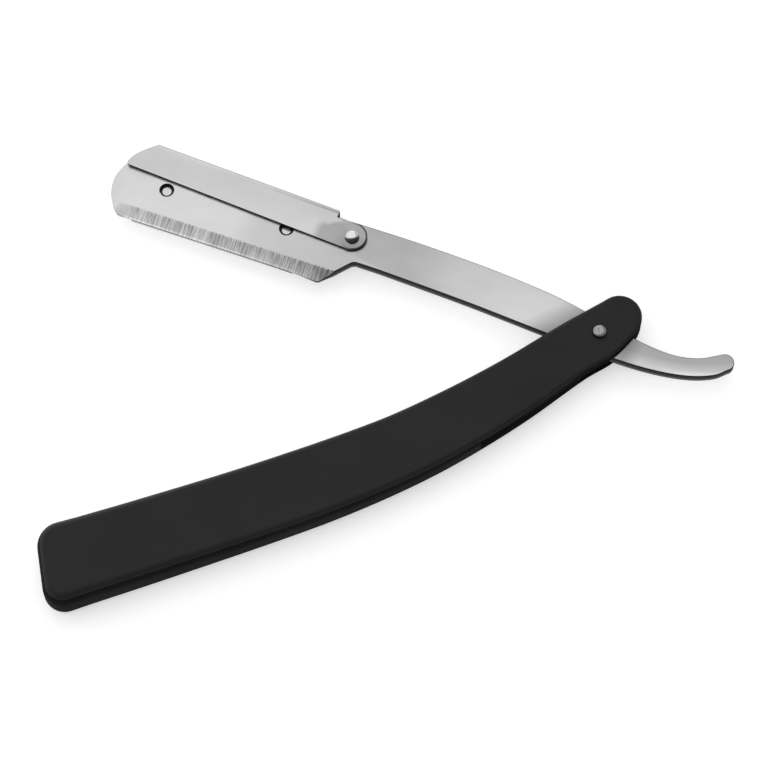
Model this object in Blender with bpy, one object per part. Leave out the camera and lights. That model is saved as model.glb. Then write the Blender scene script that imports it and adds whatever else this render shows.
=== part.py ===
"""Straight razor that takes half of a double-edge blade, lying open on its side.

Units are metres, +Z is up. The origin is on the pivot's axis, at the flat end of the pivot
rivet's back head. The butt of the handle points to -X and the arm opens on the +Y side.
Outlines below are in millimetres. The arm's pieces are drawn in the arm's own frame: its
origin is the pivot, +X runs to the tail along the cutting edge, +Y points to the spine.
"""
import math

import bmesh
import bpy

MM = 0.001

# Pose of the arm: the angle of its own +X to the handle's
ARM_ANGLE = -44.7

# Handle: one moulding, a wedge that is thin at the pivot and thick at the butt
HANDLE_THICKNESS_FRONT = 4.6
HANDLE_THICKNESS_BUTT = 8.8
HANDLE_FRONT_X = 10.5
HANDLE_BUTT_X = -130.0
HANDLE_RIM_FRONT = 1.0
HANDLE_RIM_BUTT = 2.4
HANDLE_RIM_SHARE = 0.7
HANDLE_FACE_LAND = 0.8
PIVOT_END_CENTRE = (4.55, 1.45)
PIVOT_END_RADIUS = 6.05
CONCAVE_EDGE = [(3.9, 7.45), (-6.0, 5.85), (-22.3, 3.25), (-37.0, 1.95), (-52.4, 1.6),
                (-79.2, 3.3), (-105.0, 6.05), (-119.0, 7.7)]
CONVEX_EDGE = [(-124.0, -8.9), (-105.6, -10.7), (-79.3, -13.0), (-65.0, -13.85), (-50.0, -13.8),
               (-37.5, -12.8), (-22.4, -10.65), (-6.6, -7.55), (7.3, -4.5)]
BUTT_FAR_CORNER = (-126.3, 8.9)
BUTT_NEAR_CORNER = (-131.4, -8.4)
BUTT_FAR_RADIUS = 5.2
BUTT_NEAR_RADIUS = 4.4

# Slot in the handle, open on the concave side and, near the pivot, on both sides
SLOT_WIDTH_PIVOT = 2.6
SLOT_WIDTH_HEAD = 4.5
SLOT_PARALLEL_TO_X = -8.0
SLOT_WIDE_FROM_X = -42.0
SLOT_END_X = -117.5
SLOT_END_RADIUS = 4.0
WEB_START_X = -34.0
WEB_NOSE_LENGTH = 3.0
WEB_THICKNESS = 1.8

# Arm: two leaves of sheet steel with a gap between them for the blade
LEAF_THICKNESS = 1.0
LEAF_GAP = 0.3
LEAF_CHAMFER = 0.12
EDGE_Y = -7.95
EDGE_START = (-106.2, EDGE_Y)
LEAF_EDGE = [EDGE_START, (-85.0, EDGE_Y), (-73.0, -8.0), (-66.0, -8.15)]
HEEL_CORNER = (-61.2, -8.35)
HEEL_ROOT = (-55.4, -1.5)
HEEL_CORNER_RADIUS = 1.2
HEEL_ROOT_RADIUS = 1.8
ARM_LOWER_EDGE = [(-49.2, -1.55), (-29.2, -2.35), (-11.0, -3.5), (3.0, -4.15), (12.6, -3.95),
                  (20.3, -2.8), (26.0, -0.75), (28.75, 1.65)]
TAIL_TIP_CENTRE = (27.3, 2.9)
TAIL_TIP_RADIUS = 1.95
ARM_UPPER_EDGE = [(26.05, 4.4), (21.9, 2.0), (16.8, 0.85), (10.4, 1.2), (3.0, 2.6), (-10.1, 5.3),
                  (-21.7, 6.6), (-32.6, 7.25), (-46.0, 7.6), (-60.0, 7.55)]
NOSE_EDGE = [(-104.2, 9.42), (-106.8, 8.6), (-109.2, 6.5), (-111.0, 3.6), (-111.85, 0.2),
             (-111.4, -2.9), (-110.3, -5.3), (-108.4, -7.35), EDGE_START]

# Band ground hollow on the outside of each leaf, down to a thin edge
GRIND_START_Y = -5.1
GRIND_DEPTH = 0.8
GRIND_CURVE = 1.35
GRIND_FROM_X = -116.0
GRIND_TO_X = -47.0

# Blade studs, at the hole spacing of a double-edge blade
STUD_SPACING = 28.0
STUD_MIDDLE_X = -85.9
STUD_Y = 1.05
STUD_RADIUS = 1.15
STUD_TIP_RADIUS = 1.02
STUD_TAIL_RADIUS = 0.95
STUD_TOP_Z = 0.6
STUD_HOLE_RADIUS = 1.65
STUD_SEAT_RADIUS = 1.02

# Half blade
BLADE_LENGTH = 43.0
BLADE_EDGE_LENGTH = 37.5
BLADE_WIDTH = 10.9
BLADE_THICKNESS = 0.1
BLADE_STANDS_PROUD = 0.28
BLADE_SHOULDER_HEIGHT = 4.5
BLADE_BEVEL = 0.35
NOTCH_RADIUS = 1.7
NOTCH_DEPTH = 2.9

# Clip: one sheet folded over the spine, with an ear on each side round its rivet
CLIP_INSIDE = 1.3
CLIP_SHEET = 0.6
CLIP_RIVET = (-57.65, 3.6)
FOLD_END = (-62.7, 7.63)
FOLD_SLOPE = -0.0425
FOLD_END_RADIUS = 1.4
EAR_CENTRE = (-57.65, 3.88)
EAR_RADIUS = 3.25
EAR_TOP_Y = 7.1
CLIP_LOWER_CORNER = (-110.75, 3.93)
CLIP_NOSE_EDGE = [(-105.2, 12.6), (-106.15, 10.3), (-107.75, 8.7), (-109.05, 7.3), (-110.05, 5.8)]

# Rivets
SHANK_RADIUS = 1.0
HOLE_RADIUS = 1.1
HEAD_RADIUS = 1.55
HEAD_HEIGHT = 0.85
HEAD_LAND = 0.75
HEAD_SEAT_GAP = 0.1
ROUND_SIDES = 32

LEAF_INSIDE_Z = LEAF_GAP / 2
LEAF_OUTSIDE_Z = LEAF_INSIDE_Z + LEAF_THICKNESS
CLIP_OUTSIDE = CLIP_INSIDE + CLIP_SHEET
BLADE_EDGE_Y = EDGE_Y - BLADE_STANDS_PROUD
STUDS = {"nose_stud": STUD_MIDDLE_X - STUD_SPACING / 2, "heel_stud": STUD_MIDDLE_X + STUD_SPACING / 2}


def along_handle(x, front, butt):
    """Value at x of something that grows evenly from the pivot end to the butt."""
    return front + (butt - front) * (HANDLE_FRONT_X - x) / (HANDLE_FRONT_X - HANDLE_BUTT_X)


def handle_thickness(x):
    """Thickness of the moulding at x: its two broad faces are flat and run apart to the butt."""
    return along_handle(x, HANDLE_THICKNESS_FRONT, HANDLE_THICKNESS_BUTT)


def rim_depth(x):
    """How far the rounding of the rim reaches into the broad faces at x."""
    return along_handle(x, HANDLE_RIM_FRONT, HANDLE_RIM_BUTT)


PIVOT_SEAT_Z = handle_thickness(0) / 2 + HEAD_SEAT_GAP
MID_Z = PIVOT_SEAT_Z + HEAD_HEIGHT


def clear_scene():
    for obj in list(bpy.data.objects):
        bpy.data.objects.remove(obj, do_unlink=True)


def material(name, colour, roughness, metallic):
    mat = bpy.data.materials.new(name)
    mat.use_nodes = True
    shader = mat.node_tree.nodes["Principled BSDF"]
    shader.inputs["Base Color"].default_value = (*colour, 1.0)
    shader.inputs["Roughness"].default_value = roughness
    shader.inputs["Metallic"].default_value = metallic
    return mat


def empty(name, location, angle=0.0, parent=None):
    """An axis that the pieces of one moving body hang on."""
    axis = bpy.data.objects.new(name, None)
    axis.location = [value * MM for value in location]
    axis.rotation_euler.z = math.radians(angle)
    axis.parent = parent
    bpy.context.collection.objects.link(axis)
    return axis


def make_object(name, verts, faces, parent=None, mat=None, origin=(0, 0), smooth_angle=32):
    """Object from millimetre vertices, with its origin moved to a point of the XY plane."""
    mesh = bpy.data.meshes.new(name)
    moved = [((x - origin[0]) * MM, (y - origin[1]) * MM, z * MM) for x, y, z in verts]
    mesh.from_pydata(moved, [], faces)
    mesh.validate()
    if mat:
        mesh.materials.append(mat)
    mesh.shade_smooth()
    mesh.set_sharp_from_angle(angle=math.radians(smooth_angle))
    obj = bpy.data.objects.new(name, mesh)
    obj.location = (origin[0] * MM, origin[1] * MM, 0)
    obj.parent = parent
    bpy.context.collection.objects.link(obj)
    return obj


def spline(points, steps):
    """Smooth open curve through the points, without the last one."""
    count = len(points)
    result = []
    for i in range(count - 1):
        (x1, y1), (x2, y2) = points[i], points[i + 1]
        before = points[max(i - 1, 0)]
        after = points[min(i + 2, count - 1)]
        chord = math.dist(points[i], points[i + 1])
        reach_in = math.dist(before, points[i]) + chord
        reach_out = chord + math.dist(points[i + 1], after)
        in_x, in_y = ((x2 - before[0]) * chord / reach_in, (y2 - before[1]) * chord / reach_in)
        out_x, out_y = ((after[0] - x1) * chord / reach_out, (after[1] - y1) * chord / reach_out)
        for k in range(steps):
            t = k / steps
            a = 2 * t ** 3 - 3 * t ** 2 + 1
            b = t ** 3 - 2 * t ** 2 + t
            c = 3 * t ** 2 - 2 * t ** 3
            d = t ** 3 - t ** 2
            result.append((a * x1 + b * in_x + c * x2 + d * out_x,
                           a * y1 + b * in_y + c * y2 + d * out_y))
    return result


def arc(centre, radius, start, end, steps):
    """Points of an arc, angles in degrees, both ends included."""
    result = []
    for k in range(steps + 1):
        angle = math.radians(start + (end - start) * k / steps)
        result.append((centre[0] + radius * math.cos(angle), centre[1] + radius * math.sin(angle)))
    return result


def corner(before, tip, after, radius, steps=5):
    """Rounded corner at tip, between the lines to the point before and the point after."""
    ux, uy = before[0] - tip[0], before[1] - tip[1]
    vx, vy = after[0] - tip[0], after[1] - tip[1]
    u_len, v_len = math.hypot(ux, uy), math.hypot(vx, vy)
    ux, uy, vx, vy = ux / u_len, uy / u_len, vx / v_len, vy / v_len
    half = math.acos(ux * vx + uy * vy) / 2
    bx, by = ux + vx, uy + vy
    b_len = math.hypot(bx, by)
    centre_gap = radius / math.sin(half)
    cx, cy = tip[0] + bx / b_len * centre_gap, tip[1] + by / b_len * centre_gap
    reach = radius / math.tan(half)
    start = math.atan2(tip[1] + uy * reach - cy, tip[0] + ux * reach - cx)
    end = math.atan2(tip[1] + vy * reach - cy, tip[0] + vx * reach - cx)
    turn = (end - start + math.pi) % (2 * math.pi) - math.pi
    return arc((cx, cy), radius, math.degrees(start), math.degrees(start + turn), steps)


def inset(outline, depth):
    """The outline, which runs anticlockwise, moved inwards by depth, a rule over x."""
    count = len(outline)
    result = []
    for i, (x, y) in enumerate(outline):
        px, py = outline[i - 1]
        nx, ny = outline[(i + 1) % count]
        ax, ay = x - px, y - py
        bx, by = nx - x, ny - y
        a_len, b_len = math.hypot(ax, ay), math.hypot(bx, by)
        ax, ay, bx, by = ax / a_len, ay / a_len, bx / b_len, by / b_len
        scale = depth(x) / (1 + ax * bx + ay * by)
        result.append((x - (ay + by) * scale, y + (ax + bx) * scale))
    return result


def stacked(outline, levels):
    """Closed solid from rings of one outline. Each level is an inset and a height, both rules over x."""
    count = len(outline)
    verts = []
    for depth, height in levels:
        verts += [(x, y, height(x)) for x, y in inset(outline, depth)]
    faces = [list(range(count - 1, -1, -1))]
    for level in range(len(levels) - 1):
        low = level * count
        for i in range(count):
            j = (i + 1) % count
            faces.append([low + i, low + j, low + count + j, low + count + i])
    top = (len(levels) - 1) * count
    faces.append(list(range(top, top + count)))
    return verts, faces


def plate(outline, low, high, chamfer):
    """Sheet between two heights with a small chamfer round both rims."""
    rims = [(chamfer, low), (0, low + chamfer), (0, high - chamfer), (chamfer, high)]
    if not chamfer:
        rims = [(0, low), (0, high)]
    return stacked(outline, [(lambda x, d=depth: d, lambda x, z=z: z) for depth, z in rims])


def extruded(section, start_x, end_x, slope=0.0):
    """Bar along X from a section of (y, z) points. Its end is shifted in Y by the slope."""
    count = len(section)
    shift = slope * (end_x - start_x)
    verts = [(start_x, y, z) for y, z in section] + [(end_x, y + shift, z) for y, z in section]
    faces = [list(range(count - 1, -1, -1)), list(range(count, 2 * count))]
    for i in range(count):
        j = (i + 1) % count
        faces.append([i, j, count + j, count + i])
    return verts, faces


def turned(profile, centre=(0, 0)):
    """Solid of revolution about a vertical axis. The profile runs from the bottom to the top."""
    rings = profile[1:-1]
    verts = [(centre[0], centre[1], profile[0][1])]
    for radius, z in rings:
        for k in range(ROUND_SIDES):
            angle = 2 * math.pi * k / ROUND_SIDES
            verts.append((centre[0] + radius * math.cos(angle), centre[1] + radius * math.sin(angle), z))
    verts.append((centre[0], centre[1], profile[-1][1]))
    faces = []
    for k in range(ROUND_SIDES):
        nxt = (k + 1) % ROUND_SIDES
        faces.append([0, 1 + nxt, 1 + k])
        for ring in range(len(rings) - 1):
            low = 1 + ring * ROUND_SIDES
            faces.append([low + k, low + nxt, low + ROUND_SIDES + nxt, low + ROUND_SIDES + k])
        top = 1 + (len(rings) - 1) * ROUND_SIDES
        faces.append([top + k, top + nxt, len(verts) - 1])
    return verts, faces


def boolean(target, name, solid, operation="DIFFERENCE"):
    """Cut the target with a solid, or keep what the two share, by an exact Boolean."""
    cutter = make_object(name, *solid, parent=target.parent, origin=(0, 0))
    cutter.hide_render = True
    cutter.display_type = "WIRE"
    modifier = target.modifiers.new(name, "BOOLEAN")
    modifier.operation = operation
    modifier.solver = "EXACT"
    modifier.object = cutter
    return cutter


def drill(target, name, centre, radius, low, high):
    boolean(target, name, turned([(0, low), (radius, low), (radius, high), (0, high)], centre))


def handle_outline():
    """Banana-shaped outline: a round pivot end, a hollow upper edge and a full lower edge."""
    pivot_end = arc(PIVOT_END_CENTRE, PIVOT_END_RADIUS, -62, 92, 16)
    far = corner(CONCAVE_EDGE[-1], BUTT_FAR_CORNER, BUTT_NEAR_CORNER, BUTT_FAR_RADIUS, 8)
    near = corner(BUTT_FAR_CORNER, BUTT_NEAR_CORNER, CONVEX_EDGE[0], BUTT_NEAR_RADIUS, 8)
    return pivot_end + spline(CONCAVE_EDGE, 5)[1:] + far + near + spline(CONVEX_EDGE, 5)[1:]


def handle_levels():
    """Rings of the rounded rim, a quarter ellipse below each broad face."""
    steps = 6
    turn = [math.radians(90 * k / steps) for k in range(steps + 1)]
    levels = []
    for side, angles in ((-1, reversed(turn)), (1, turn)):
        for angle in angles:
            inwards = 1 - math.cos(angle)
            rise = side * (1 - HANDLE_RIM_SHARE * (1 - math.sin(angle)))
            levels.append((lambda x, d=inwards: d * rim_depth(x),
                           lambda x, r=rise: r * handle_thickness(x) / 2))
    face, back = [(lambda x: rim_depth(x) + HANDLE_FACE_LAND,
                   lambda x, s=side: s * handle_thickness(x) / 2) for side in (1, -1)]
    return [back] + levels + [face]


def slot_width(x):
    """Slot width: narrow and parallel round the pivot, then opening out to its full width."""
    share = (SLOT_PARALLEL_TO_X - x) / (SLOT_PARALLEL_TO_X - SLOT_WIDE_FROM_X)
    share = min(max(share, 0.0), 1.0)
    return SLOT_WIDTH_PIVOT + share * (SLOT_WIDTH_HEAD - SLOT_WIDTH_PIVOT)


def web_inside(x, lower_edge):
    """Height of the web's inner face over x, one web thickness above the convex edge."""
    for (x1, y1), (x2, y2) in zip(lower_edge, lower_edge[1:]):
        if x1 <= x <= x2:
            return y1 + (y2 - y1) * (x - x1) / (x2 - x1) + WEB_THICKNESS
    return lower_edge[0][1] + WEB_THICKNESS


def slot_cutter():
    """The slot as a loft of rectangles along the handle, from beyond the pivot to its blind end."""
    outside = 20.0
    lower_edge = spline(CONVEX_EDGE, 5)
    stations = [(x, -outside) for x in (outside, SLOT_PARALLEL_TO_X, WEB_START_X)]
    for k in range(5):
        angle = math.radians(90 * k / 4)
        x = WEB_START_X - 0.01 - WEB_NOSE_LENGTH * (1 - math.cos(angle))
        y = web_inside(x, lower_edge)
        stations.append((x, y - WEB_THICKNESS * 1.2 * (1 - math.sin(angle))))
    stations.append((SLOT_WIDE_FROM_X, web_inside(SLOT_WIDE_FROM_X, lower_edge)))
    straight_end = SLOT_END_X + SLOT_END_RADIUS
    span = (straight_end - SLOT_WIDE_FROM_X) / 10
    for k in range(1, 11):
        x = SLOT_WIDE_FROM_X + span * k
        stations.append((x, web_inside(x, lower_edge)))
    for k in range(1, 6):
        angle = math.radians(90 * k / 5)
        x = straight_end - SLOT_END_RADIUS * math.sin(angle)
        y = web_inside(x, lower_edge) + SLOT_END_RADIUS * (1 - math.cos(angle))
        stations.append((x, y))
    verts = []
    for x, low in stations:
        half = slot_width(x) / 2
        verts += [(x, low, -half), (x, outside, -half), (x, outside, half), (x, low, half)]
    faces = [[3, 2, 1, 0], [len(verts) - 4 + k for k in range(4)]]
    for ring in range(len(stations) - 1):
        low = ring * 4
        for k in range(4):
            nxt = (k + 1) % 4
            faces.append([low + k, low + nxt, low + 4 + nxt, low + 4 + k])
    return verts, [face[::-1] for face in faces]


def make_handle(axis, mat):
    handle = make_object("handle", *stacked(handle_outline(), handle_levels()), parent=axis, mat=mat)
    boolean(handle, "cut_handle_slot", slot_cutter())
    drill(handle, "cut_handle_hole", (0, 0), HOLE_RADIUS, -8, 8)


def leaf_outline():
    """Outline of both leaves: head, heel step, arm and the upswept tail, anticlockwise."""
    heel = corner(LEAF_EDGE[-1], HEEL_CORNER, HEEL_ROOT, HEEL_CORNER_RADIUS)
    root = corner(HEEL_CORNER, HEEL_ROOT, ARM_LOWER_EDGE[0], HEEL_ROOT_RADIUS)
    tip = arc(TAIL_TIP_CENTRE, TAIL_TIP_RADIUS, -40, 130, 10)
    return (spline(LEAF_EDGE, 3) + [LEAF_EDGE[-1]] + heel + root + spline(ARM_LOWER_EDGE, 5) + tip
            + spline(ARM_UPPER_EDGE, 5)[1:] + [ARM_UPPER_EDGE[-1]] + spline(NOSE_EDGE, 4))


def grind_cutter(side):
    """Waste of the hollow grind: steepest at its upper shoulder, almost level along the edge."""
    steps = 7
    beyond = 0.1
    span = GRIND_START_Y - EDGE_Y
    section = [(GRIND_START_Y + beyond, LEAF_OUTSIDE_Z + beyond * GRIND_CURVE * GRIND_DEPTH / span)]
    for k in range(1, steps + 1):
        fall = 1 - (1 - k / steps) ** GRIND_CURVE
        section.append((GRIND_START_Y - span * k / steps, LEAF_OUTSIDE_Z - GRIND_DEPTH * fall))
    clear = 2.0
    section += [(EDGE_Y - clear, LEAF_OUTSIDE_Z - GRIND_DEPTH), (EDGE_Y - clear, LEAF_OUTSIDE_Z + clear),
                (GRIND_START_Y + beyond, LEAF_OUTSIDE_Z + clear)]
    if side > 0:
        section = section[::-1]
    return extruded([(y, z * side) for y, z in section], GRIND_FROM_X, GRIND_TO_X)


def make_leaf(name, axis, mat, side):
    """One leaf of the arm. side is 1 for the front leaf and -1 for the back one."""
    low, high = sorted((side * LEAF_INSIDE_Z, side * LEAF_OUTSIDE_Z))
    leaf = make_object(name, *plate(leaf_outline(), low, high, LEAF_CHAMFER), parent=axis, mat=mat)
    boolean(leaf, "cut_" + name + "_grind", grind_cutter(side))
    drill(leaf, "cut_" + name + "_pivot", (0, 0), HOLE_RADIUS, -4, 4)
    drill(leaf, "cut_" + name + "_clip", CLIP_RIVET, HOLE_RADIUS, -4, 4)
    radius = STUD_HOLE_RADIUS if side > 0 else STUD_SEAT_RADIUS
    for stud, x in STUDS.items():
        drill(leaf, "cut_" + name + "_" + stud, (x, STUD_Y), radius, -4, 4)


def make_stud(name, axis, mat, x):
    """Stepped stud: its thin tail is set in the back leaf, its end stands in the front one."""
    shoulder = -LEAF_INSIDE_Z + 0.05
    profile = [(0, -LEAF_OUTSIDE_Z), (STUD_TAIL_RADIUS, -LEAF_OUTSIDE_Z), (STUD_TAIL_RADIUS, shoulder),
               (STUD_RADIUS, shoulder), (STUD_RADIUS, STUD_TOP_Z - 0.18), (STUD_TIP_RADIUS, STUD_TOP_Z),
               (0, STUD_TOP_Z)]
    make_object(name, *turned(profile, (x, STUD_Y)), parent=axis, mat=mat, origin=(x, STUD_Y))


def make_half_blade(axis, mat):
    """Half of a double-edge blade: notched where it was one, shouldered beside its edge."""
    half, edge_half = BLADE_LENGTH / 2, BLADE_EDGE_LENGTH / 2
    back = BLADE_EDGE_Y + BLADE_WIDTH
    ground = BLADE_EDGE_Y + BLADE_BEVEL
    shoulder = BLADE_EDGE_Y + BLADE_SHOULDER_HEIGHT
    outline = [(-edge_half, ground), (edge_half, ground), (edge_half, shoulder), (half, shoulder),
               (half, back)]
    for x in (STUD_SPACING / 2, -STUD_SPACING / 2):
        outline.append((x + NOTCH_RADIUS, back))
        outline += arc((x, back - NOTCH_DEPTH + NOTCH_RADIUS), NOTCH_RADIUS, 0, -180, 10)
        outline.append((x - NOTCH_RADIUS, back))
    outline += [(-half, back), (-half, shoulder), (-edge_half, shoulder)]
    outline = [(x + STUD_MIDDLE_X, y) for x, y in outline]
    solid = plate(outline, -BLADE_THICKNESS / 2, BLADE_THICKNESS / 2, 0)
    blade = make_object("half_blade", *solid, parent=axis, mat=mat, origin=(STUD_MIDDLE_X, 0))
    bevel_cutting_edge(blade.data)


def bevel_cutting_edge(mesh):
    """Draw the lowest side face of the blade out to a thin cutting edge."""
    bm = bmesh.new()
    bm.from_mesh(mesh)
    face = min(bm.faces, key=lambda f: (f.calc_center_median().y, abs(f.normal.z)))
    drawn = bmesh.ops.extrude_discrete_faces(bm, faces=[face])["faces"][0]
    for vert in drawn.verts:
        vert.co.y -= BLADE_BEVEL * MM
        vert.co.z *= 0.2
    bm.to_mesh(mesh)
    bm.free()


def fold_bar():
    """The clip's sheet bent to a deep U, as a bar along the spine and past both ends."""
    wall = 11.0
    start_x, end_x = -114.0, -50.0
    centre = FOLD_END[1] + FOLD_SLOPE * (start_x - FOLD_END[0])
    outer = arc((centre, 0), CLIP_OUTSIDE, -90, 90, 12)
    inner = arc((centre, 0), CLIP_INSIDE, 90, -90, 10)
    foot = centre - wall
    section = [(foot, -CLIP_OUTSIDE)] + outer + [(foot, CLIP_OUTSIDE), (foot, CLIP_INSIDE)]
    section += inner + [(foot, -CLIP_INSIDE)]
    return extruded(section, start_x, end_x, FOLD_SLOPE)


def clip_outline():
    """What is kept of the fold, seen from the side: nose curve, lower edge, ear and fold end."""
    ear = arc(EAR_CENTRE, EAR_RADIUS, -93, 78, 16)
    low = corner(CLIP_NOSE_EDGE[-1], CLIP_LOWER_CORNER, ear[0], 0.7)
    end, above = FOLD_END[0], CLIP_NOSE_EDGE[0][1]
    crown = FOLD_END[1] + CLIP_OUTSIDE
    rounding = arc((end - FOLD_END_RADIUS, crown - FOLD_END_RADIUS), FOLD_END_RADIUS, 0, 75, 4)
    fold_end = [(EAR_CENTRE[0], EAR_TOP_Y), (end, EAR_TOP_Y)] + rounding + [(rounding[-1][0], above)]
    return low + ear + fold_end + spline(CLIP_NOSE_EDGE, 4)


def make_clip(axis, mat):
    clip = make_object("spine_clip", *fold_bar(), parent=axis, mat=mat)
    boolean(clip, "keep_clip_outline", plate(clip_outline(), -5, 5, 0), "INTERSECT")
    drill(clip, "cut_clip_hole", CLIP_RIVET, HOLE_RADIUS, -5, 5)
    return clip


def domed_end(seat, dish):
    """Profile of a rivet head from its rim to its middle: a dome, a land and maybe a dish."""
    profile = [(HEAD_RADIUS, seat)]
    for k in range(1, 6):
        angle = math.radians(75 * k / 5)
        rise = HEAD_HEIGHT * math.sin(angle) / math.sin(math.radians(75))
        shrink = (1 - math.cos(angle)) / (1 - math.cos(math.radians(75)))
        profile.append((HEAD_RADIUS - (HEAD_RADIUS - HEAD_LAND) * shrink, seat + rise))
    if dish:
        profile.append((HEAD_LAND * 0.5, seat + HEAD_HEIGHT - dish))
    profile.append((0, seat + HEAD_HEIGHT - dish))
    return profile


def make_rivet(name, axis, mat, centre, seat, dish):
    """Rivet with a plain shank between a domed head and a closed back end."""
    front = [(SHANK_RADIUS, seat)] + domed_end(seat, dish)
    back = [(radius, -z) for radius, z in [(SHANK_RADIUS, seat)] + domed_end(seat, 0)]
    profile = back[::-1] + front
    make_object(name, *turned(profile, centre), parent=axis, mat=mat, origin=centre)


def build():
    clear_scene()
    black = material("black_moulding", (0.022, 0.022, 0.023), 0.5, 0.0)
    steel = material("satin_steel", (0.62, 0.62, 0.61), 0.32, 1.0)
    back_steel = material("satin_steel_back", (0.6, 0.6, 0.59), 0.34, 1.0)
    clip_steel = material("brushed_clip_steel", (0.58, 0.58, 0.58), 0.36, 1.0)
    rivet_steel = material("rivet_steel", (0.66, 0.66, 0.65), 0.28, 1.0)
    stud_steel = material("stud_steel", (0.64, 0.64, 0.63), 0.3, 1.0)
    blade_steel = material("blade_steel", (0.72, 0.73, 0.74), 0.2, 1.0)

    body_axis = empty("handle_axis", (0, 0, MID_Z))
    arm_axis = empty("arm_axis", (0, 0, 0), ARM_ANGLE, body_axis)
    clip_axis = empty("clip_axis", (*CLIP_RIVET, 0), 0, arm_axis)

    make_handle(body_axis, black)
    make_rivet("pivot_rivet", body_axis, rivet_steel, (0, 0), PIVOT_SEAT_Z, 0.12)
    make_leaf("front_leaf", arm_axis, steel, 1)
    make_leaf("back_leaf", arm_axis, back_steel, -1)
    for name, x in STUDS.items():
        make_stud(name, arm_axis, stud_steel, x)
    make_rivet("clip_rivet", arm_axis, rivet_steel, CLIP_RIVET, CLIP_OUTSIDE + HEAD_SEAT_GAP, 0)
    make_half_blade(arm_axis, blade_steel)
    clip = make_clip(arm_axis, clip_steel)
    clip.parent = clip_axis
    clip.location = (-CLIP_RIVET[0] * MM, -CLIP_RIVET[1] * MM, 0)
    for name in [modifier.name for modifier in clip.modifiers]:
        cutter = bpy.data.objects[name]
        cutter.parent = clip_axis
        cutter.location = clip.location


build()
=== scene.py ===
# %% [markdown]
# # A folding razor with a replaceable blade
# The real object is a slotted handle of black moulded plastic and a steel arm that folds into it.
# The arm is two thin leaves of sheet steel with half of a double-edge blade between them, and a
# folded clip presses the leaves together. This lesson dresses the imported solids: it keeps their
# size and place, and gives each piece the shape and finish that a close look needs.

import math

import bpy
from mathutils import Matrix, Vector


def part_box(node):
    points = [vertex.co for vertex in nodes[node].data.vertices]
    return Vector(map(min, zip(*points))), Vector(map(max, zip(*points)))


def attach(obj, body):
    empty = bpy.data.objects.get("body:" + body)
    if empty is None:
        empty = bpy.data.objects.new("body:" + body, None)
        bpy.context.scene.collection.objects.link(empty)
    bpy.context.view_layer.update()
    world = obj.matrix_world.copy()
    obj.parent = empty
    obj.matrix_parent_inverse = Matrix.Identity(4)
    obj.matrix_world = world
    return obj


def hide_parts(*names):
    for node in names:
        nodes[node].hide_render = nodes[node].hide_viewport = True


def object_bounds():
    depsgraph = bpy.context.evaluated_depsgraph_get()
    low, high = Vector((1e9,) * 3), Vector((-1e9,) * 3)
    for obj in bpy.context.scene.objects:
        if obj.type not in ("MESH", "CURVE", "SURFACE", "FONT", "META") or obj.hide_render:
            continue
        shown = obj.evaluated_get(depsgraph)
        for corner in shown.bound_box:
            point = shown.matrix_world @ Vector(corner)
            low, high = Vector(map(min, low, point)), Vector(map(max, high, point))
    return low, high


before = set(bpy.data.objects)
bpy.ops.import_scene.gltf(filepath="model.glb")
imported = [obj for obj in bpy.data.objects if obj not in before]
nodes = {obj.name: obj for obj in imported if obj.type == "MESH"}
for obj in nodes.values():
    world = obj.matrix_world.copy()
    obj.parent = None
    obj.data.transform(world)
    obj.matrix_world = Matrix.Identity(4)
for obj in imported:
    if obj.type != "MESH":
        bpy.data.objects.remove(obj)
CAD_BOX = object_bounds()
MM = 0.001
print("nodes:", ", ".join(sorted(nodes)))
print("box in mm:", [[round(value / MM, 1) for value in side] for side in CAD_BOX])

# %% [markdown]
# ## Where the photograph was taken from
# The round ear of the clip looks like a circle only when the table is seen from 66 degrees above
# it, and the two long edges meet the picture's frame as they do from 0.6 m away. A camera could be
# turned by hand until it fits. Writing down its angles keeps it exact, so they are numbers here.

# %% Camera
CAMERA_HEADING = math.radians(-24.867)
CAMERA_RISE = math.radians(66.0)
CAMERA_DISTANCE = 0.6
CAMERA_TARGET = Vector((-46.44, 9.30, 3.41)) * MM
FOCAL_PIXELS = 2820.0
PHOTO_PIXELS = 768.0
SENSOR_WIDTH = 36.0


def hang(name, data, place, direction):
    """New camera or lamp at a place, looking in a direction."""
    thing = bpy.data.objects.new(name, data)
    thing.location = place
    thing.rotation_euler = direction.to_track_quat("-Z", "Y").to_euler()
    bpy.context.collection.objects.link(thing)
    return thing


def place_camera():
    """Camera that looks down at the razor, level with the picture's lower edge."""
    data = bpy.data.cameras.new("table_camera")
    data.sensor_width = SENSOR_WIDTH
    data.lens = SENSOR_WIDTH * FOCAL_PIXELS / PHOTO_PIXELS
    data.clip_start = 0.02
    back = Vector((math.sin(CAMERA_HEADING) * math.cos(CAMERA_RISE),
                   -math.cos(CAMERA_HEADING) * math.cos(CAMERA_RISE), math.sin(CAMERA_RISE)))
    camera = hang("table_camera", data, CAMERA_TARGET + back * CAMERA_DISTANCE, -back)
    bpy.context.scene.camera = camera
    return camera


camera = place_camera()
print("camera at", [round(value, 3) for value in camera.location], "with a lens of",
      round(camera.data.lens, 1), "mm")

# %% [markdown]
# ## Node trees in code
# Every finish and every rule-made shape below is a node tree. Trees could be drawn by hand in the
# editor. Built in code they can be read and repeated, and a small class keeps them short: a sum
# written with outputs of nodes, such as a * b + 1, adds the Math nodes that it needs.

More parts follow.
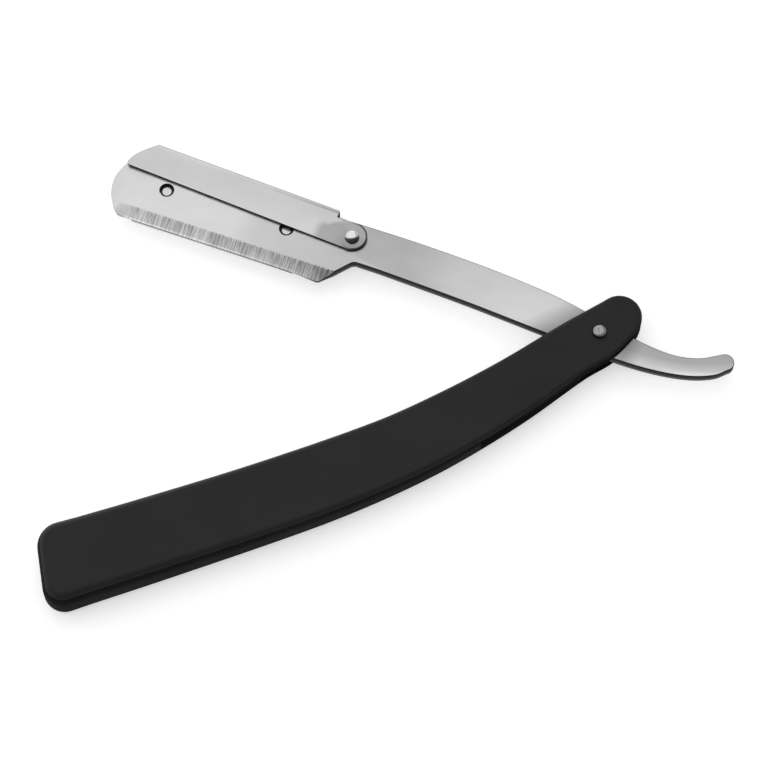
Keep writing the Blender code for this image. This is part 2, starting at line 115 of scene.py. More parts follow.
# %% Nodes and sums
class Output:
    """Output of a node, by number or name, ready for the next node's input."""

    def __init__(self, node, name=0):
        self.node, self.name, self.tree = node, name, node.id_data

    def __getitem__(self, name):
        return Output(self.node, name)

    def __add__(self, other):
        return maths("ADD", self, other)

    def __sub__(self, other):
        return maths("SUBTRACT", self, other)

    def __mul__(self, other):
        return maths("MULTIPLY", self, other)

    def __truediv__(self, other):
        return maths("DIVIDE", self, other)

    def __pow__(self, other):
        return maths("POWER", self, other)

    def __abs__(self):
        return maths("ABSOLUTE", self)

    def __lt__(self, other):
        return compared("LESS_THAN", self, other)

    def __gt__(self, other):
        return compared("GREATER_THAN", self, other)

    def __and__(self, other):
        return made(self.tree, "FunctionNodeBooleanMath", {0: self, 1: other}, operation="AND")

    def __or__(self, other):
        return made(self.tree, "FunctionNodeBooleanMath", {0: self, 1: other}, operation="OR")


# %% Making and feeding nodes
def feed(node, socket, value):
    """Give an input a plain value, or a link from an output."""
    if isinstance(value, Output):
        value.tree.links.new(value.node.outputs[value.name], node.inputs[socket])
    else:
        node.inputs[socket].default_value = value


def made(tree, kind, inputs=(), **settings):
    """New node with its settings, such as its operation, and its inputs. Gives its output."""
    node = tree.nodes.new(kind)
    for name, value in settings.items():
        setattr(node, name, value)
    for socket, value in dict(inputs).items():
        feed(node, socket, value)
    return Output(node)


def maths(operation, *values):
    """Math node on the values, of which at least one is an output."""
    tree = next(value.tree for value in values if isinstance(value, Output))
    return made(tree, "ShaderNodeMath", enumerate(values), operation=operation)


def compared(operation, first, second):
    """True or false, from two numbers."""
    return made(first.tree, "FunctionNodeCompare", {"A": first, "B": second}, data_type="FLOAT",
                operation=operation)


def ramp(value, low, high, to_low=0.0, to_high=1.0, smooth=False):
    """The value mapped from one range to another and held at both ends."""
    return made(value.tree, "ShaderNodeMapRange", enumerate((value, low, high, to_low, to_high)),
                interpolation_type="SMOOTHSTEP" if smooth else "LINEAR")


def between(share, start, end):
    """From the start value to the end value, which is an output, by a share from 0 to 1."""
    return share * (end - start) + start


def point_of(tree, x=0.0, y=0.0, z=0.0):
    """Point from three values."""
    return made(tree, "ShaderNodeCombineXYZ", {0: x, 1: y, 2: z})


def parts(point):
    """X, Y and Z of a point."""
    node = made(point.tree, "ShaderNodeSeparateXYZ", {0: point}).node
    return [Output(node, k) for k in range(3)]


def new_material(name):
    """Empty material, and its node tree."""
    finish = bpy.data.materials.new(name)
    finish.use_nodes = True
    finish.node_tree.nodes.clear()
    return finish, finish.node_tree


# %% [markdown]
# ## Table and light
# The razor lies on white paper that curves up far behind it, so that every side view ends in paper.
# Steel shows mostly what it mirrors, so the lamps are wide soft sheets: one above the far side,
# which the flat faces mirror, and two low ones along the far and the left side, which light those
# rims. The side of the camera stays dim, and that helps to draw the dark near edge of the handle.
# One small lamp would be simpler, but it would leave a hard spot on the steel.

# %% Floor
FLOOR_HEIGHT = CAD_BOX[0][2] - 0.05 * MM
FLOOR_PROFILE = [(0.6, 0.0), (2.2, 0.0), (2.36, 0.04), (2.46, 0.14), (2.5, 0.3), (2.5, 0.6)]
FLOOR_SIDES = 96
PAPER_WHITE = 0.9
PAPER_LIFT_MIRRORED = 0.38
PAPER_LIFT_SEEN = 0.5


def paper_material():
    """White paper, lifted to white where it is seen, straight or mirrored in the razor."""
    finish, tree = new_material("table_paper")
    sheet = made(tree, "ShaderNodeBsdfDiffuse", {"Color": (PAPER_WHITE,) * 3 + (1.0,)})
    path = made(tree, "ShaderNodeLightPath")
    mirrored = maths("MAXIMUM", path["Is Glossy Ray"], path["Is Transmission Ray"])
    strength = mirrored * PAPER_LIFT_MIRRORED + path["Is Camera Ray"] * PAPER_LIFT_SEEN
    lift = made(tree, "ShaderNodeEmission", {"Strength": strength})
    total = made(tree, "ShaderNodeAddShader", {0: sheet, 1: lift})
    made(tree, "ShaderNodeOutputMaterial", {"Surface": total})
    return finish


def lay_floor():
    """Round sheet of paper whose rim curves up."""
    verts, faces = [], [list(range(FLOOR_SIDES))]
    for ring, (radius, height) in enumerate(FLOOR_PROFILE):
        for k in range(FLOOR_SIDES):
            angle = 2 * math.pi * k / FLOOR_SIDES
            verts.append((radius * math.cos(angle), radius * math.sin(angle),
                          FLOOR_HEIGHT + height))
            if ring:
                a, b = ring * FLOOR_SIDES + k, ring * FLOOR_SIDES + (k + 1) % FLOOR_SIDES
                faces.append([a - FLOOR_SIDES, a, b, b - FLOOR_SIDES])
    mesh = bpy.data.meshes.new("table_top")
    mesh.from_pydata(verts, [], faces)
    mesh.shade_smooth()
    mesh.materials.append(paper_material())
    floor = bpy.data.objects.new("table_top", mesh)
    bpy.context.collection.objects.link(floor)


lay_floor()
print("floor at", round(FLOOR_HEIGHT / MM, 2), "mm")

# %% Lamps and room
WALL_STRENGTH = 0.15
CEILING_STRENGTH = 0.58


def hang_lamp(name, place, width, height, radiance):
    """Sheet lamp that faces the razor. Its power is its brightness times its area and pi."""
    data = bpy.data.lights.new(name, "AREA")
    data.shape = "RECTANGLE"
    data.size = width
    data.size_y = height
    data.energy = radiance * math.pi * width * height
    hang(name, data, place, CAMERA_TARGET - Vector(place))


def light_room():
    """Even room: a bright ceiling over dimmer walls."""
    world = bpy.data.worlds.new("plain_room")
    bpy.context.scene.world = world
    world.use_nodes = True
    tree = world.node_tree
    tree.nodes.clear()
    upward = parts(made(tree, "ShaderNodeTexCoord")["Generated"])[2]
    strength = ramp(upward, 0.0, 1.0, WALL_STRENGTH, CEILING_STRENGTH)
    room = made(tree, "ShaderNodeBackground", {"Color": (1.0,) * 4, "Strength": strength})
    made(tree, "ShaderNodeOutputWorld", {"Surface": room})


hang_lamp("far_sheet", (-0.15, 0.36, 0.80), 2.0, 1.1, 0.48)
hang_lamp("far_wall", (0.05, 1.10, 0.35), 1.8, 0.7, 0.5)
hang_lamp("left_wall", (-1.15, 0.45, 0.35), 1.2, 0.7, 0.45)
light_room()
bpy.context.scene.view_settings.view_transform = "Standard"
print("lamps:", ", ".join(lamp.name for lamp in bpy.data.lights))

# %% [markdown]
# ## Lines that the pieces are cut from
# Sheet pieces and the moulding are outlines with a thickness. A few measured points with a smooth
# curve through them give the long edges, and arcs give the round ends, as on a drawing board. The
# arm's pieces are drawn in the arm's own frame: its origin is the pivot, +X runs to the tail along
# the cutting edge and +Y points to the spine. All outlines are in millimetres.

# %% Drawing helpers
def spline(points, steps):
    """Smooth open curve through the points, without the last one."""
    count = len(points)
    result = []
    for i in range(count - 1):
        start, end = Vector(points[i]), Vector(points[i + 1])
        before, after = Vector(points[max(i - 1, 0)]), Vector(points[min(i + 2, count - 1)])
        chord = (end - start).length
        tangent_in = (end - before) * chord / ((start - before).length + chord)
        tangent_out = (after - start) * chord / ((after - end).length + chord)
        for k in range(steps):
            t = k / steps
            point = start * (2 * t ** 3 - 3 * t ** 2 + 1) + tangent_in * (t ** 3 - 2 * t ** 2 + t)
            point += end * (3 * t ** 2 - 2 * t ** 3) + tangent_out * (t ** 3 - t ** 2)
            result.append((point.x, point.y))
    return result


def arc(centre, radius, start, end, steps):
    """Points of an arc, angles in degrees, both ends included."""
    angles = [math.radians(start + (end - start) * k / steps) for k in range(steps + 1)]
    return [(centre[0] + radius * math.cos(t), centre[1] + radius * math.sin(t)) for t in angles]


def corner(before, tip, after, radius, steps=10):
    """Rounded corner at tip, between the lines to the point before and the point after."""
    tip = Vector(tip)
    to_before = (Vector(before) - tip).normalized()
    to_after = (Vector(after) - tip).normalized()
    half = to_before.angle(to_after) / 2
    centre = tip + (to_before + to_after).normalized() * radius / math.sin(half)
    reach = radius / math.tan(half)
    first = tip + to_before * reach - centre
    last = tip + to_after * reach - centre
    start = math.atan2(first.y, first.x)
    turn = (math.atan2(last.y, last.x) - start + math.pi) % (2 * math.pi) - math.pi
    return arc(centre, radius, math.degrees(start), math.degrees(start + turn), steps)


print("a rounded corner in", len(corner((0, 1), (0, 0), (1, 0), 0.2)), "points")

# %% [markdown]
# A solid is then a stack of rings, each the same outline at its own height and a little further in.
# Curve objects with a bevel could do that too, but the handle grows thicker along its length, so
# its levels have to be rules over X. The outlines run anticlockwise and the rings go upwards, which
# makes all faces point outwards.

# %% Solids from outlines
def inset(outline, depth):
    """The outline moved inwards by depth, a rule over x."""
    result = []
    for i, (x, y) in enumerate(outline):
        after = outline[(i + 1) % len(outline)]
        a = (Vector((x, y)) - Vector(outline[i - 1])).normalized()
        b = (Vector(after) - Vector((x, y))).normalized()
        scale = depth(x) / (1 + a.dot(b))
        result.append((x - (a.y + b.y) * scale, y + (a.x + b.x) * scale))
    return result


def lofted(rings):
    """Closed solid from rings with as many points each."""
    count = len(rings[0])
    faces = [list(range(count - 1, -1, -1))]
    for low in range(0, (len(rings) - 1) * count, count):
        for i in range(count):
            j = (i + 1) % count
            faces.append([low + i, low + j, low + count + j, low + count + i])
    faces.append(list(range((len(rings) - 1) * count, len(rings) * count)))
    return [point for ring in rings for point in ring], faces


def stacked(outline, levels):
    """Solid from rings of one outline. A level is an inset and a height, both rules over x."""
    return lofted([[(x, y, height(x)) for x, y in inset(outline, depth)]
                   for depth, height in levels])


def level(depth, height):
    """Level that is the same all along the outline."""
    return lambda x: depth, lambda x: height


def sheet(outline, low, high, rim):
    """Flat sheet between two heights, with both its rims rounded."""
    levels = []
    for side, edge, turn in ((1, low, (0, 30, 60, 90)), (-1, high, (90, 60, 30, 0))):
        for angle in turn:
            inwards = rim * (1 - math.sin(math.radians(angle)))
            rise = rim * (1 - math.cos(math.radians(angle)))
            levels.append(level(inwards, edge + side * rise))
    return stacked(outline, levels)


def turned(profile, sides=64, centre=(0, 0)):
    """Solid or shell of revolution about a vertical axis. A radius of 0 closes an end."""
    verts, rows = [], []
    for radius, z in profile:
        count = sides if radius else 1
        rows.append([len(verts) + k for k in range(count)])
        for k in range(count):
            angle = 2 * math.pi * k / sides
            verts.append((centre[0] + radius * math.cos(angle),
                          centre[1] + radius * math.sin(angle), z))
    faces = []
    for low, high in zip(rows, rows[1:]):
        for k in range(sides):
            n = (k + 1) % sides
            ring = [low[k % len(low)], low[n % len(low)], high[n % len(high)], high[k % len(high)]]
            faces.append(list(dict.fromkeys(ring)))
    return verts, faces


print("a turned cone has", len(turned([(0, 0), (1, 0), (0, 1)])[1]), "faces")

# %% [markdown]
# A piece starts as a draft in its own flat frame, with Boolean and Bevel modifiers that wait. They
# could be applied one by one in the editor. Here the evaluated object becomes one plain mesh at the
# end, set in its place, and the cutting solids are thrown away.

# %% From a draft to a finished piece
def draft(name, solid, finishes=()):
    """Object from millimetre vertices and faces, with its materials."""
    mesh = bpy.data.meshes.new(name)
    mesh.from_pydata([(x * MM, y * MM, z * MM) for x, y, z in solid[0]], [], solid[1])
    for finish in finishes:
        mesh.materials.append(finish)
    piece = bpy.data.objects.new(name, mesh)
    bpy.context.collection.objects.link(piece)
    return piece


def cut(piece, name, solid, operation="DIFFERENCE", finish=None):
    """Cut the piece with a solid. The cut faces take the solid's finish where it has one."""
    tool = draft(name, solid, [finish] if finish else [])
    tool.hide_render = True
    modifier = piece.modifiers.new(name, "BOOLEAN")
    modifier.operation = operation
    modifier.solver = "EXACT"
    modifier.object = tool
    if finish:
        modifier.material_mode = "TRANSFER"


def drill(piece, name, centre, radius, finish):
    """Round hole through the whole piece."""
    bit = turned([(0, -6), (radius, -6), (radius, 6), (0, 6)], 64, centre)
    cut(piece, name, bit, finish=finish)


def soften(piece, width, angle):
    """Narrow bevel on all edges that are sharper than the angle."""
    rim = piece.modifiers.new("soft_edges", "BEVEL")
    rim.width = width * MM
    rim.segments = 2
    rim.limit_method = "ANGLE"
    rim.angle_limit = math.radians(angle)
    return rim


def settle(piece, place, smooth_angle=30):
    """Turn the piece and its modifiers into one plain mesh, set in its place."""
    tools = [m.object for m in piece.modifiers if m.type == "BOOLEAN"]
    shown = piece.evaluated_get(bpy.context.evaluated_depsgraph_get())
    mesh = bpy.data.meshes.new_from_object(shown)
    for tool in tools:
        bpy.data.objects.remove(tool, do_unlink=True)
    piece.modifiers.clear()
    piece.data = mesh
    mesh.name = piece.name
    mesh.transform(place)
    mesh.shade_smooth()
    mesh.set_sharp_from_angle(angle=math.radians(smooth_angle))
    mesh.calc_loop_triangles()
    size = Vector(piece.bound_box[6]) - Vector(piece.bound_box[0])
    print(piece.name, len(mesh.loop_triangles), "triangles,",
          [round(value / MM, 2) for value in size], "mm")
    return piece


# %% [markdown]
# ## Where the arm stands
# The pivot rivet is as high as the razor's middle plane at both ends, so its box gives that plane.
# The arm stands open at 44.7 degrees to the handle. Pieces are drawn flat round the middle plane,
# and this one matrix then sets them in place, so that each object itself stays at the origin.

# %% Places of the handle and the arm
ARM_ANGLE = -44.7
pivot_low, pivot_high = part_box("pivot_rivet")
MIDDLE = (pivot_low[2] + pivot_high[2]) / 2
HANDLE_PLACE = Matrix.Translation((0, 0, MIDDLE))
ARM_PLACE = HANDLE_PLACE @ Matrix.Rotation(math.radians(ARM_ANGLE), 4, "Z")
print("middle plane at", round(MIDDLE / MM, 3), "mm")

# %% [markdown]
# ## Steel finishes
# Rolled sheet has a grain along its length, and polishing leaves soft clouds. A picture of steel
# could be laid on, but it would show its edge and repeat. Here noise is drawn out along the arm,
# so the Mapping node first turns the pattern into the arm's own direction.

# %% Patterns along the arm
def stretched(point, factors):
    """The point with its parts multiplied by the three factors."""
    return made(point.tree, "ShaderNodeVectorMath", {0: point, 1: factors}, operation="MULTIPLY")


def arm_coordinates(tree, *factors):
    """Object coordinates in metres, turned so that X runs along the arm, then stretched."""
    lined_up = made(tree, "ShaderNodeMapping", {
        "Vector": made(tree, "ShaderNodeTexCoord")["Object"],
        "Rotation": (0.0, 0.0, math.radians(-ARM_ANGLE))}, vector_type="POINT")
    return stretched(lined_up, factors)


def arm_place(tree):
    """Place along the arm, across it and above the table, in millimetres."""
    return parts(arm_coordinates(tree, 1 / MM, 1 / MM, 1 / MM))


def noise(point, detail=3.0, roughness=0.55):
    """Noise value round 0.5 at a scale that the point already carries."""
    return made(point.tree, "ShaderNodeTexNoise", {"Vector": point, "Scale": 1.0, "Detail": detail,
                                                   "Roughness": roughness})


def spread(pattern, low, high):
    """The pattern from low to high. Noise seldom goes below 0.3 or above 0.7."""
    return ramp(pattern, 0.3, 0.7, low, high)


# %% Satin steel
def surface(tone, roughness, relief, relief_depth, metallic=1.0, specular=0.5):
    """Shader of a grey finish with a fine relief, on the material's output."""
    tree = tone.tree
    grey = made(tree, "ShaderNodeCombineColor", {0: tone, 1: tone, 2: tone})
    normal = made(tree, "ShaderNodeBump", {"Strength": 1.0, "Distance": relief_depth * MM,
                                           "Height": relief})
    shader = made(tree, "ShaderNodeBsdfPrincipled", {
        "Base Color": grey, "Metallic": metallic, "Roughness": roughness,
        "Specular IOR Level": specular, "Normal": normal})
    made(tree, "ShaderNodeOutputMaterial", {"Surface": shader})


def satin_steel(name, base, rough, grain_depth, shade):
    """Polished sheet: long fine grain, soft clouds, and the painted light and shade of its piece.
    """
    finish, tree = new_material(name)
    grain = noise(arm_coordinates(tree, 350.0, 16000.0, 9000.0), 2.0)
    clouds = noise(arm_coordinates(tree, 110.0, 240.0, 200.0))
    uneven = spread(grain, -0.012, 0.012) + spread(clouds, -0.014, 0.014)
    polish = spread(clouds, rough + 0.025, rough - 0.025) + spread(grain, -0.015, 0.015)
    surface((uneven + base) * shade(tree), polish, grain, grain_depth)
    return finish


# %% [markdown]
# The front of the arm is not one even grey, and its tone here is painted light. There is a painted
# highlight at the nose. Past a faint line from the ear out to the lower edge, the arm is darker by
# the ear, brighter along the middle and darker again round the handle. There painted shade stands
# in for the handle's shade and its dark reflection. The tail has a painted highlight along its
# lower edge, where it would catch the light on its sweep, and painted shade behind the handle. The
# tone is a rule over the arm's length, made from soft ramps. Each ramp is where it begins and ends,
# in millimetres, and the brightness at its two ends.

# %% Painted light on the leaves
TONE_LINE, TONE_LINE_SLOPE = (-53.5, -0.55), -0.155
TONE_LINE_FROM = (-57.5, -54.5)
NOSE_HIGHLIGHT = (-84.0, -77.0, 1.0, 0.86)
HEAD_FADE = (-77.0, -57.0, 1.0, 0.88)
ARM_RISE = (-47.0, -29.0, 0.655, 0.87)
ARM_CREST = (-27.0, -18.0, 0.0, 0.085)
SHADE_BEFORE_HANDLE = (-14.3, -6.5, 1.0, 0.37)
TAIL_BEGINS, TAIL_LOW, TAIL_SWEEP = 3.0, -4.15, 0.00028
TAIL_FACE = (0.5, 2.9, 0.9, 0.6)
TAIL_RIM_HIGHLIGHT = (0.1, 1.0, 0.25, 0.0)
TAIL_HIGHLIGHT_FROM = (14.0, 20.0)
SHADE_BEHIND_HANDLE = (6.5, 10.0, 0.56, 1.02)


def above_line(along, across, point, slope):
    """Distance across the arm from a sloping line through the point."""
    return across - (along * slope + (point[1] - slope * point[0]))


def tail_painted_light(along, across):
    """Painted light over the tail, by the height above its swept lower edge."""
    beyond = maths("MAXIMUM", along - TAIL_BEGINS, 0.0)
    above = across - (beyond ** 3.0 * TAIL_SWEEP + TAIL_LOW)
    # Painted highlight along the swept lower edge, and painted shade behind the handle.
    rim = ramp(above, *TAIL_RIM_HIGHLIGHT) * ramp(along, *TAIL_HIGHLIGHT_FROM)
    return (ramp(above, *TAIL_FACE) + rim) * ramp(along, *SHADE_BEHIND_HANDLE)


def arm_painted_light(tree):
    """Painted light over the leaf: 1 at the nose, and the soft rise and fall along the arm."""
    along, across, _ = arm_place(tree)
    past_line = above_line(along, across, TONE_LINE, TONE_LINE_SLOPE)
    behind = ramp(past_line, -0.15, 0.35, smooth=True) * ramp(along, *TONE_LINE_FROM, smooth=True)
    # Painted highlight at the nose.
    head = ramp(along, *NOSE_HIGHLIGHT, smooth=True) * ramp(along, *HEAD_FADE)
    rise = ramp(along, *ARM_RISE, smooth=True) + ramp(along, *ARM_CREST)
    # Painted shade and dark reflection where the arm runs up to the handle.
    arm = rise * ramp(along - across, *SHADE_BEFORE_HANDLE)
    arm = between(ramp(along, -1.0, 1.0), arm, tail_painted_light(along, across))
    return between(behind, head, arm)


print("before the handle the arm goes down to", SHADE_BEFORE_HANDLE[3], "of its tone")

# %% [markdown]
# The clip was brushed flat. The outside of its fold is darker, as painted shade where the crown
# turns away. The ear round its rivet is darker than the long wall, with a soft border that leans
# back and most of the dark low down, and a black line of painted shadow, as in a gap, follows its
# round end.

# %% Tone of the clip
FOLD_END, FOLD_SLOPE = (-62.35, 7.61), -0.0425
EAR_CENTRE, EAR_RADIUS = (-57.65, 3.88), 3.25
FOLD_SHADE = (0.95, 1.5, 1.0, 0.5)
DARK_PATCH_FROM = (-66.7, -64.2)
DARK_PATCH_LINE, DARK_PATCH_SLOPE = (-65.0, 0.0), 0.42
DARK_PATCH_BORDER = (4.0, 5.6, 1.0, 0.0)
EAR_DARK_BY_HEIGHT = (1.6, 6.2, -0.49, -0.29)
EAR_DARK_TO_RIVET = (-61.5, -58.5, -0.36)
GAP_SHADOW_DARK = -0.85


def clip_tone(tree):
    """Brightness over the clip: even wall, darker ear with a painted shadow line, painted shade on
    the fold.
    """
    along, across, _ = arm_place(tree)
    # Painted shade on the crown of the fold.
    fold = ramp(above_line(along, across, FOLD_END, FOLD_SLOPE), *FOLD_SHADE, smooth=True)
    wander = noise(arm_coordinates(tree, 400.0, 400.0, 0.0), 2.0)
    slant = above_line(along, across, DARK_PATCH_LINE, DARK_PATCH_SLOPE) + spread(wander, -0.5, 0.5)
    dark_patch = ramp(along, *DARK_PATCH_FROM, smooth=True) * ramp(slant, *DARK_PATCH_BORDER, smooth=True)
    by_height = ramp(across, *EAR_DARK_BY_HEIGHT)
    dark = dark_patch * ramp(along, *EAR_DARK_TO_RIVET, by_height)
    from_centre = made(tree, "ShaderNodeVectorMath", {
        0: point_of(tree, along, across), 1: (*EAR_CENTRE, 0.0)}, operation="DISTANCE")["Value"]
    # Painted shadow: a black line round the ear's end, as in a gap under it.
    gap_shadow_line = (ramp(from_centre, EAR_RADIUS - 0.42, EAR_RADIUS - 0.25)
                 * ramp(along, EAR_CENTRE[0] - 1.5, EAR_CENTRE[0] + 1.0))
    return fold * (dark + 1.0) * (gap_shadow_line * GAP_SHADOW_DARK + 1.0)


print("the clip's fold ends", -FOLD_END[0], "mm from the pivot")

# %% [markdown]
# The cut edges of the stamped sheets were never polished, and carry the fine upright breaks of the
# shear. Their darkness is painted shade: the front leaf's edge mirrors little and is nearly black,
# and the back leaf's is a little lighter. The same dark steel goes on the inner faces, the hole
# walls and the cut rims, where there is only shade between parts. The band along the cutting edge
# is ground across, so its marks run square to the edge, and it is duller than the face and darker
# toward the heel.

# %% Sheared edges and the ground band
BAND_AT_NOSE = 0.62
BAND_BEGINS = (-108.0, -104.0)
BAND_FADE = (-104.0, -72.0, 0.58, 0.46)
BAND_DARK_HEEL = (-72.0, -61.0, 1.0, 0.6)
BRIGHT_STRIP = (-7.65, -7.4, 1.0, 0.0)
BRIGHT_STRIP_FADE = (-84.0, -62.0, 0.2, 0.03)


def shaded_sheared_steel(name, tone, metallic, specular):
    """Raw stamped edge: rough, with fine breaks through the sheet, and dark as painted shade."""
    finish, tree = new_material(name)
    breaks = noise(arm_coordinates(tree, 5000.0, 5000.0, 700.0), 4.0)
    surface(spread(breaks, tone * 0.6, tone * 1.5), spread(breaks, 0.42, 0.6), breaks, 0.004,
            metallic, specular)
    return finish


def ground_steel():
    """Band ground across the edge: dull, streaked square to the edge, lighter at the nose."""
    finish, tree = new_material("ground_band_steel")
    streaks = noise(arm_coordinates(tree, 4200.0, 180.0, 180.0), 3.0, 0.6)
    broad = noise(arm_coordinates(tree, 700.0, 60.0, 60.0), 2.0)
    along, across, _ = arm_place(tree)
    marks = ramp(streaks, 0.36, 0.64, -0.19, 0.15) + ramp(broad, 0.35, 0.65, -0.06, 0.06)
    strip = ramp(across, *BRIGHT_STRIP) * ramp(along, *BRIGHT_STRIP_FADE)
    dull = ramp(along, *BAND_FADE) * ramp(along, *BAND_DARK_HEEL) + marks + strip
    tone = between(ramp(along, *BAND_BEGINS, smooth=True), BAND_AT_NOSE, dull)
    surface(tone, spread(streaks, 0.3, 0.45), streaks, 0.004)
    return finish


front_steel = satin_steel("front_leaf_steel", 0.68, 0.3, 0.0006, arm_painted_light)
back_steel = satin_steel("back_leaf_steel", 0.66, 0.32, 0.0006, arm_painted_light)
clip_steel = satin_steel("spine_clip_steel", 0.62, 0.3, 0.0008, clip_tone)
# Painted shade: the dark edge steels also stand for the shade in gaps, holes and inside the arm.
front_edge_and_shade = shaded_sheared_steel("front_leaf_sheared_edge_painted_shade", 0.018, 0.15, 0.08)
back_edge_and_shade = shaded_sheared_steel("back_leaf_sheared_edge_painted_shade", 0.11, 0.7, 0.3)
ground = ground_steel()
print("steel finishes:", front_steel.name, clip_steel.name, front_edge_and_shade.name, ground.name)

# %% [markdown]
# ## The two leaves
# Each leaf is stamped from 1 mm sheet, drilled, and ground hollow along its edge. The ground band
# could be a texture, but the wheel takes real metal away and leaves real grooves, and those catch
# the light from every side. So Geometry Nodes build the waste that the wheel removes, as a sheet
# of many narrow columns whose heights follow a noise, and a Mesh Boolean takes it off the blank.

# %% Outline of a leaf
LEAF_INSIDE, LEAF_OUTSIDE = 0.15, 1.15
LEAF_RIM = 0.15
EDGE = -7.95
LEAF_EDGE = [(-106.2, EDGE), (-85.0, EDGE), (-73.0, -8.0), (-66.0, -8.15)]
HEEL_CORNER, HEEL_CORNER_RADIUS = (-61.2, -8.35), 1.2
HEEL_ROOT, HEEL_ROOT_RADIUS = (-55.4, -1.5), 1.8
ARM_LOWER_EDGE = [(-49.2, -1.55), (-29.2, -2.35), (-11.0, -3.52), (3.0, -4.3), (12.6, -4.17),
                  (20.4, -3.0), (25.9, -0.88), (28.75, 1.65)]
TAIL_TIP, TAIL_TIP_RADIUS = (27.3, 2.9), 1.949
ARM_UPPER_EDGE = [(26.05, 4.4), (21.9, 2.0), (16.8, 0.85), (10.4, 1.2), (3.0, 2.6), (-10.1, 5.3),
                  (-21.7, 6.6), (-32.6, 7.25), (-46.0, 7.6), (-60.0, 7.55)]
NOSE_EDGE = [(-104.2, 9.42), (-106.8, 8.6), (-109.2, 6.5), (-111.0, 3.6), (-111.85, 0.2),
             (-111.4, -2.9), (-110.3, -5.3), (-108.4, -7.35)]


def leaf_outline(set_back):
    """Head, heel step, arm and upswept tail, anticlockwise. The cutting edge can be set back."""
    cutting_edge = [(x, y + set_back) for x, y in LEAF_EDGE]
    heel = corner(cutting_edge[-1], HEEL_CORNER, HEEL_ROOT, HEEL_CORNER_RADIUS)
    root = corner(HEEL_CORNER, HEEL_ROOT, ARM_LOWER_EDGE[0], HEEL_ROOT_RADIUS)
    tip = arc(TAIL_TIP, TAIL_TIP_RADIUS, -40, 130, 20)
    return (spline(cutting_edge, 4) + [cutting_edge[-1]] + heel + root + spline(ARM_LOWER_EDGE, 10)
            + tip + spline(ARM_UPPER_EDGE, 10)[1:] + [ARM_UPPER_EDGE[-1]]
            + spline(NOSE_EDGE + [cutting_edge[0]], 8))


print("outline of a leaf in", len(leaf_outline(0.0)), "points")

# %% [markdown]
# The tree for the waste: a grid is bent to the hollow of the wheel, steepest at the upper shoulder
# and nearly level along the edge. Noise with a short pitch along the edge lifts and lowers whole
# columns, and a second one starts each stroke of the wheel a little higher or lower. The grid is
# then drawn up into a closed block, because a Boolean needs a solid.

# %% Helpers for Geometry Nodes
def new_tree(name, **inputs):
    """Geometry Nodes tree with named inputs of each kind, and the inputs' identifiers."""
    tree = bpy.data.node_groups.new(name, "GeometryNodeTree")
    for way in ("INPUT", "OUTPUT"):
        tree.interface.new_socket(name="Geometry", in_out=way, socket_type="NodeSocketGeometry")
    identifiers = {}
    for kind, labels in inputs.items():
        for label in labels:
            socket = tree.interface.new_socket(name=label, in_out="INPUT",
                                               socket_type="NodeSocket" + kind)
            identifiers[label] = socket.identifier
    return tree, made(tree, "NodeGroupInput"), identifiers


def run_tree(piece, tree, identifiers, values):
    """Modifier that runs the tree on the piece, with each input set by its identifier."""
    modifier = piece.modifiers.new(tree.name, "NODES")
    modifier.node_group = tree
    for label, value in values.items():
        modifier[identifiers[label]] = value


def sewn(first, second, distance):
    """Two open shells joined and closed along their common rim."""
    joined = made(first.tree, "GeometryNodeJoinGeometry", {0: first})
    feed(joined.node, 0, second)
    return made(first.tree, "GeometryNodeMergeByDistance", {0: joined, "Distance": distance})


def realized(geometry):
    return made(geometry.tree, "GeometryNodeRealizeInstances", {0: geometry})


def paint(geometry, finish, selection=True):
    """Set Material on all faces, or on the selected ones."""
    return made(geometry.tree, "GeometryNodeSetMaterial", {
        "Geometry": geometry, "Material": finish, "Selection": selection})


# %% Geometry Nodes: the waste of a ground band
def hollow(given, across, shoulder):
    """Height of the ground face: a power curve down to the edge, and its tangent above it."""
    down = ramp(across, shoulder, given["Edge"])
    left = maths("SUBTRACT", 1.0, down) ** given["Curve"]
    fall = maths("SUBTRACT", 1.0, left) * given["Depth"]
    above = maths("MAXIMUM", across - shoulder, 0.0)
    slope = given["Curve"] * given["Depth"] / (given["Shoulder"] - given["Edge"])
    return above * slope + (given["Face Height"] - fall)


def grinding_waste(tree, given, top):
    """Closed block of waste: a grid bent to the hollow, with grooves, and drawn upwards."""
    grid = made(tree, "GeometryNodeMeshGrid", {
        "Size X": 1.0, "Size Y": 1.0, "Vertices X": given["Columns"],
        "Vertices Y": given["Rows"]})
    column, row, _ = parts(made(tree, "GeometryNodeInputPosition"))
    along = (column + 0.5) * given["Band Length"] + given["Band Start"]
    across = ramp(ramp(row, -0.5, 0.5) ** 0.6, 0.0, 1.0, top, given["Edge"] - given["Block Height"])

    stroke = along / given["Groove Pitch"]
    start = spread(noise(point_of(tree, stroke, 0.0, given["Seed"] + 20.0), 3.0, 0.7), -1.0, 1.0)
    shoulder = start * given["Raggedness"] + given["Shoulder"]
    groove = noise(point_of(tree, stroke, across * 150.0, given["Seed"]), 4.0, 0.6) - 0.5
    height = groove * 2.0 * given["Groove Depth"] + hollow(given, across, shoulder)
    begun = ramp(along, given["Run In"] - 4.0 * MM, given["Run In"], smooth=True)
    height = between(begun, given["Face Height"] + 0.03 * MM, height)

    bent = made(tree, "GeometryNodeSetPosition", {
        "Geometry": grid, "Position": point_of(tree, along, across, height)})
    raised = made(tree, "GeometryNodeExtrudeMesh", {
        "Mesh": made(tree, "GeometryNodeFlipFaces", {"Mesh": bent}),
        "Offset": point_of(tree, z=given["Block Height"]),
        "Offset Scale": 1.0, "Individual": False}, mode="FACES")
    return sewn(raised, bent, 0.0001 * MM)
